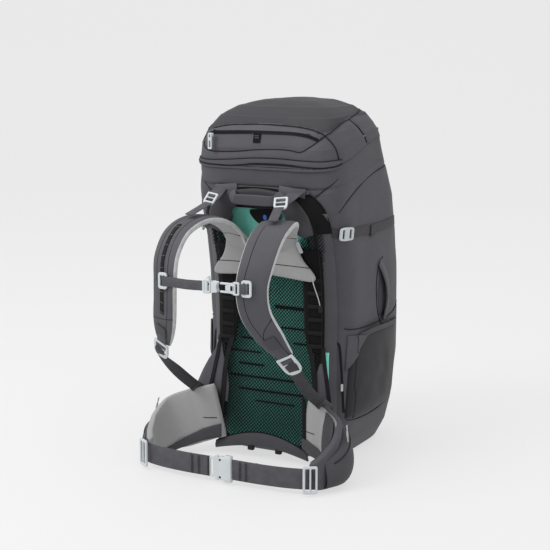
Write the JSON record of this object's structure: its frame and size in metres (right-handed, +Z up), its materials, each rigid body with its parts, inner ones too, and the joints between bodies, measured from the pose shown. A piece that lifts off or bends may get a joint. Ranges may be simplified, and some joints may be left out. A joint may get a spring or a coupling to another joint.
{
  "type": "hiking backpack",
  "caption": "Large hiking backpack with a domed lid, suspended mesh back panel, height-adjustable shoulder harness, chest strap and pocketed hip belt.",
  "frame": {"origin": "centre of the flat base the pack stands on", "axes": "+Z up towards the lid, -Y towards the wearer, +X to the right-hand side as seen facing the harness"},
  "size_m": [0.508, 0.65, 0.778],
  "materials": {
    "pack_fabric": "matte woven",
    "black_fabric": "matte woven",
    "liner_grey": "brushed mesh lining",
    "teal_fabric": "matte knitted",
    "stretch_mesh": "stretch mesh",
    "webbing": "ribbed webbing",
    "pale_plastic": "satin",
    "black_plastic": "satin",
    "spring_steel": "satin"
  },
  "bodies": {
    "pack": {"main_bag": "pack_fabric", "base_stiffener": "black_plastic", "drawcord": "webbing", "cord_lock": "black_plastic", "back_sheet": "teal_fabric", "suspended_mesh": "teal_fabric", "frame_tube": "spring_steel", "lumbar_band": "pack_fabric", "side_pocket_left": "stretch_mesh", "side_pocket_right": "stretch_mesh", "side_strap_left": "webbing", "side_strap_right": "webbing", "side_buckle_left": "pale_plastic", "side_buckle_right": "pale_plastic", "lid_catch": "black_plastic", "side_band_left": "black_fabric", "side_band_right": "black_fabric", "side_wing_left": "pack_fabric", "side_wing_right": "pack_fabric"},
    "lid": {"lid_shell": "pack_fabric", "lid_floor": "pack_fabric", "lid_lower_zip": "black_plastic", "lid_upper_zip": "black_plastic", "lid_tongue": "black_plastic", "lid_strap": "webbing"},
    "lid_slider": {"lid_zip_slider": "pale_plastic"},
    "lid_pull": {"lid_zip_pull": "pale_plastic"},
    "harness": {"yoke_pad": "liner_grey", "shoulder_pad_left": "pack_fabric", "shoulder_pad_right": "pack_fabric", "strap_adjuster_left": "pale_plastic", "strap_adjuster_right": "pale_plastic", "lower_webbing_left": "webbing", "lower_webbing_right": "webbing", "load_lifter_left": "webbing", "load_lifter_right": "webbing", "lifter_buckle_left": "pale_plastic", "lifter_buckle_right": "pale_plastic"},
    "sternum": {"sternum_slider_left": "pale_plastic", "sternum_slider_right": "pale_plastic", "sternum_web_left": "webbing", "sternum_catch": "pale_plastic"},
    "sternum_male": {"sternum_tongue": "pale_plastic", "sternum_web_right": "webbing"},
    "hip_left": {"hip_fin_left": "liner_grey", "hip_pocket_left": "pack_fabric", "hip_lock_left": "pale_plastic", "hip_webbing_left": "webbing", "hip_tongue": "pale_plastic"},
    "hip_right": {"hip_fin_right": "liner_grey", "hip_pocket_right": "pack_fabric", "hip_lock_right": "pale_plastic", "hip_webbing_right": "webbing", "hip_catch": "pale_plastic"},
    "hip_pull_left": {"hip_zip_pull_left": "pale_plastic"},
    "hip_pull_right": {"hip_zip_pull_right": "pale_plastic"},
    "top_handle": {"top_handle": "pack_fabric"},
    "side_handle": {"side_handle": "pack_fabric"}
  },
  "joints": [
    {"name": "lid_hinge", "type": "hinge", "parent": "pack", "child": "lid", "pos_m": [0, -0.1915, 0.6395], "axis": [1, 0, 0], "range_deg": [0, 100]},
    {"name": "lid_zip_slide", "type": "slide", "parent": "lid", "child": "lid_slider", "axis": [1, 0, 0], "range_m": [0, 0.23]},
    {"name": "lid_pull_swing", "type": "hinge", "parent": "lid_slider", "child": "lid_pull", "pos_m": [-0.118, -0.20223, 0.706], "axis": [-1, 0, 0], "range_deg": [0, 60]},
    {"name": "torso_slide", "type": "slide", "parent": "pack", "child": "harness", "axis": [0, 0, 1], "range_m": [-0.07, 0], "deforming": ["lower_webbing_left", "lower_webbing_right", "load_lifter_left", "load_lifter_right"]},
    {"name": "sternum_height", "type": "slide", "parent": "harness", "child": "sternum", "axis": [0, 0, 1], "range_m": [-0.02, 0.02]},
    {"name": "sternum_release", "type": "slide", "parent": "sternum", "child": "sternum_male", "axis": [1, 0, 0], "range_m": [0, 0.03]},
    {"name": "hip_left_swing", "type": "hinge", "parent": "pack", "child": "hip_left", "pos_m": [-0.12, -0.203, 0.09], "axis": [0, 0, 1], "range_deg": [-30, 0]},
    {"name": "hip_right_swing", "type": "hinge", "parent": "pack", "child": "hip_right", "pos_m": [0.12, -0.203, 0.09], "axis": [0, 0, 1], "range_deg": [0, 30]},
    {"name": "hip_pull_left_swing", "type": "hinge", "parent": "hip_left", "child": "hip_pull_left", "pos_m": [-0.227, -0.244, 0.125], "axis": [0, 1, 0], "range_deg": [0, 60]},
    {"name": "hip_pull_right_swing", "type": "hinge", "parent": "hip_right", "child": "hip_pull_right", "pos_m": [0.227, -0.244, 0.125], "axis": [0, -1, 0], "range_deg": [0, 60]},
    {"name": "top_handle_swing", "type": "hinge", "parent": "pack", "child": "top_handle", "pos_m": [0, -0.2075, 0.59], "axis": [-1, 0, 0], "range_deg": [0, 75]},
    {"name": "side_handle_swing", "type": "hinge", "parent": "pack", "child": "side_handle", "pos_m": [0.182, 0.04, 0.348], "axis": [0, 0, 1], "range_deg": [-25, 25]}
  ],
  "couplings": [
    {"joint": "hip_right_swing", "follows": "hip_left_swing", "ratio": -1}
  ]
}
